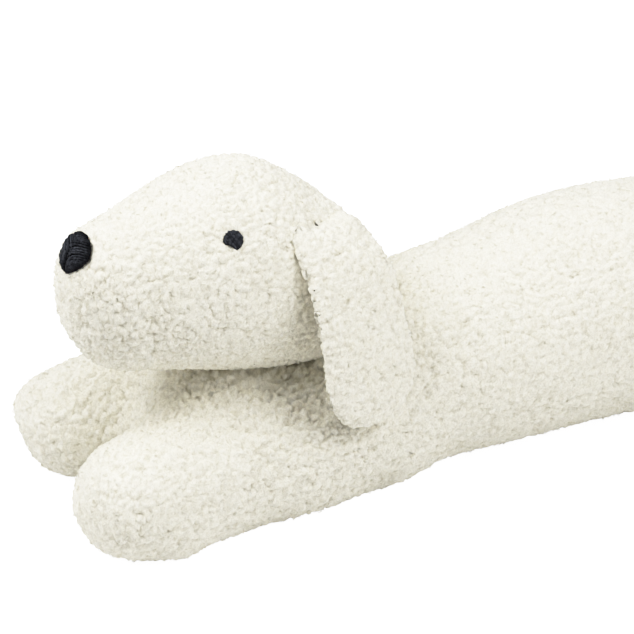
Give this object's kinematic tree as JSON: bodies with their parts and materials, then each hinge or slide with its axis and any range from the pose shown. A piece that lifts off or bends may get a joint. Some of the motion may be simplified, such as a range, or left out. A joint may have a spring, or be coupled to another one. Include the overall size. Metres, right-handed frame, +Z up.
{
  "type": "draught excluder",
  "caption": "Long stuffed door draught excluder shaped as a lying dog in curly boucle pile, with outstretched forelegs, hanging ears and an embroidered nose and eyes.",
  "frame": {"origin": "centre of the bounding box on the floor, under the belly", "axes": "+X along the body from the snout to the rump, +Y towards the dog's right side, +Z up"},
  "size_m": [0.897, 0.1984, 0.2204],
  "materials": {
    "boucle": "curly cream pile, matte",
    "thread": "black embroidery thread, soft sheen"
  },
  "bodies": {
    "root": {"body": "boucle", "head": "boucle", "ear_left": "boucle", "ear_right": "boucle", "nose": "thread", "eye_left": "thread", "eye_right": "thread"}
  },
  "joints": []
}
